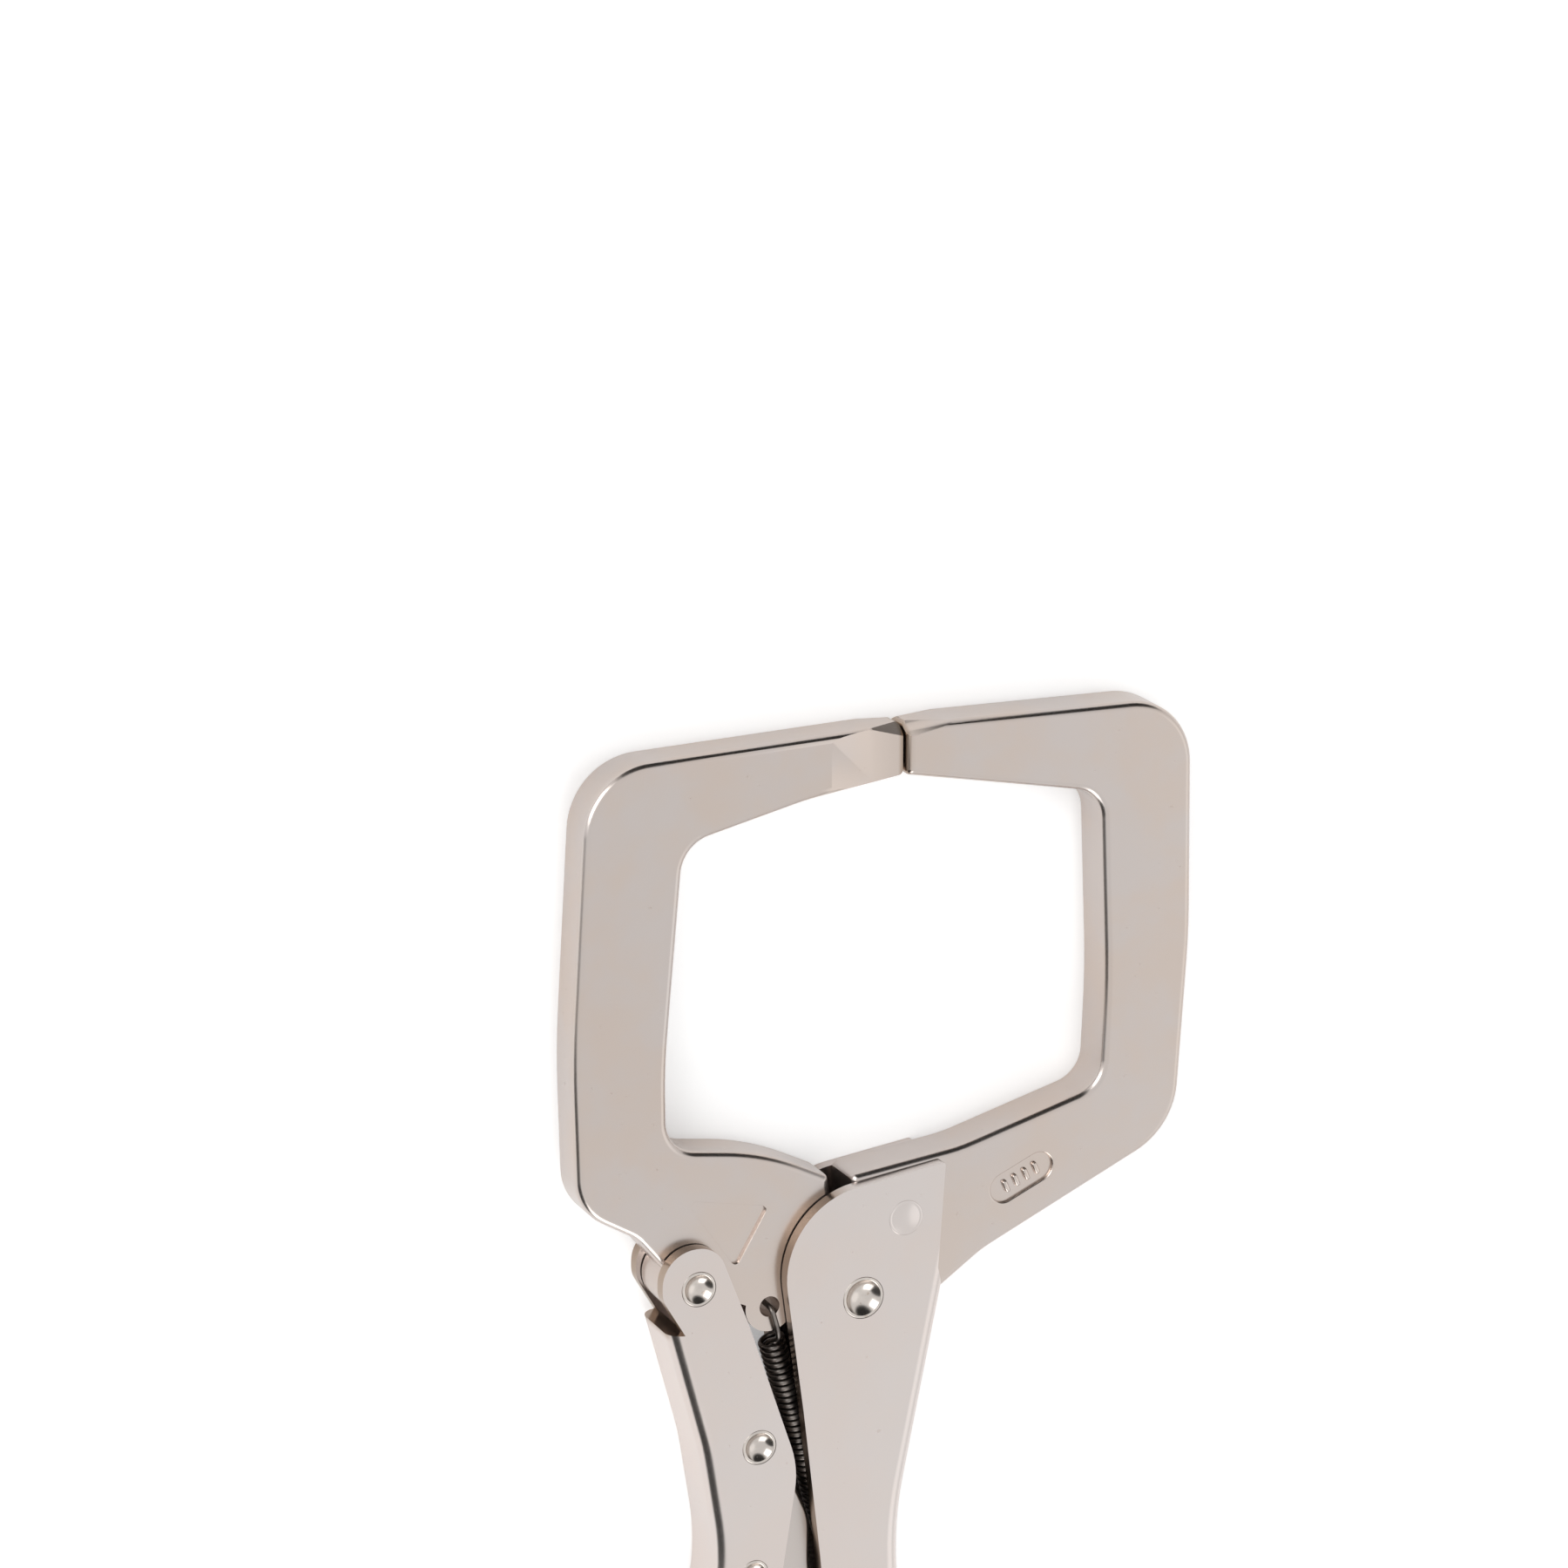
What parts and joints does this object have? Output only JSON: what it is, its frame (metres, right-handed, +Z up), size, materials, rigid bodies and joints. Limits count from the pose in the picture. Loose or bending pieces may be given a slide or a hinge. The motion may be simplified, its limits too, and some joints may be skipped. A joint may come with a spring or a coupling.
{
  "type": "locking pliers",
  "caption": "Locking pliers with two forged C-shaped arms, folded handles, toggle link, adjusting screw and release lever.",
  "frame": {"origin": "on the main pivot's axis, in the plane the pliers lie on (the lower side of the fixed handle)", "axes": "+X from the moving arm to the fixed arm, +Y from the handles to the tips, +Z up along the pivots"},
  "size_m": [0.1057, 0.2791, 0.0128],
  "materials": {
    "forged_arm_steel": "satin nickel plate over a drop forging, slightly grained",
    "folded_handle_steel": "bright satin nickel plate over pressed sheet",
    "link_steel": "satin nickel plate, polished on its edges",
    "washer_steel": "plain bright steel",
    "release_lever_steel": "satin nickel plate over pressed sheet",
    "spring_steel": "dark oiled spring wire",
    "screw_steel": "bright plated, rolled thread and knurled head",
    "rivet_steel": "headed flush and plated with the handles"
  },
  "bodies": {
    "fixed_side": {"fixed_handle": "folded_handle_steel", "fixed_jaw": "forged_arm_steel", "main_pivot_rivet": "rivet_steel", "jaw_rivet": "rivet_steel", "spring_anchor_pin": "rivet_steel", "return_spring": "spring_steel"},
    "moving_arm": {"moving_jaw": "forged_arm_steel"},
    "handle": {"moving_handle": "folded_handle_steel", "handle_pivot_rivet": "rivet_steel", "link_pivot_rivet": "rivet_steel", "link_washers": "washer_steel", "release_lever_rivet": "rivet_steel", "release_lever_spring": "spring_steel"},
    "link": {"toggle_link": "link_steel"},
    "lever": {"release_lever": "release_lever_steel"},
    "screw_stop": {"screw_stop_washer": "washer_steel"},
    "screw": {"adjusting_screw": "screw_steel", "screw_retaining_clip": "spring_steel"}
  },
  "joints": [
    {"name": "jaw_pivot", "type": "hinge", "parent": "fixed_side", "child": "moving_arm", "pos_m": [0, 0, 0.0064], "axis": [0, 0, 1], "range_deg": [0, 28], "deforming": ["return_spring"]},
    {"name": "handle_pivot", "type": "hinge", "parent": "moving_arm", "child": "handle", "pos_m": [-0.0281, 0.0059, 0.0064], "axis": [0, 0, 1], "range_deg": [-75, 0]},
    {"name": "link_pivot", "type": "hinge", "parent": "handle", "child": "link", "pos_m": [-0.0179, -0.0223, 0.0064], "axis": [0, 0, 1], "range_deg": [0, 75]},
    {"name": "lever_pivot", "type": "hinge", "parent": "handle", "child": "lever", "pos_m": [-0.0188, -0.0438, 0.0064], "axis": [0, 0, 1], "range_deg": [-3.5, 0], "stiffness_Nm_per_rad": 0.8, "springref_deg": 2.86},
    {"name": "screw_travel", "type": "slide", "parent": "fixed_side", "child": "screw_stop", "axis": [0.0349, -0.9994, 0], "range_m": [0, 0.027]},
    {"name": "screw_turn", "type": "hinge", "parent": "screw_stop", "child": "screw", "pos_m": [0.00254, -0.12997, 0.0064], "axis": [0.0349, -0.9994, 0], "range_deg": [0, 6490]}
  ],
  "couplings": [
    {"joint": "handle_pivot", "follows": "jaw_pivot", "ratio": -2.64},
    {"joint": "link_pivot", "follows": "jaw_pivot", "ratio": 2.62},
    {"joint": "screw_turn", "follows": "screw_travel", "rad_per_m": 4188.8}
  ]
}
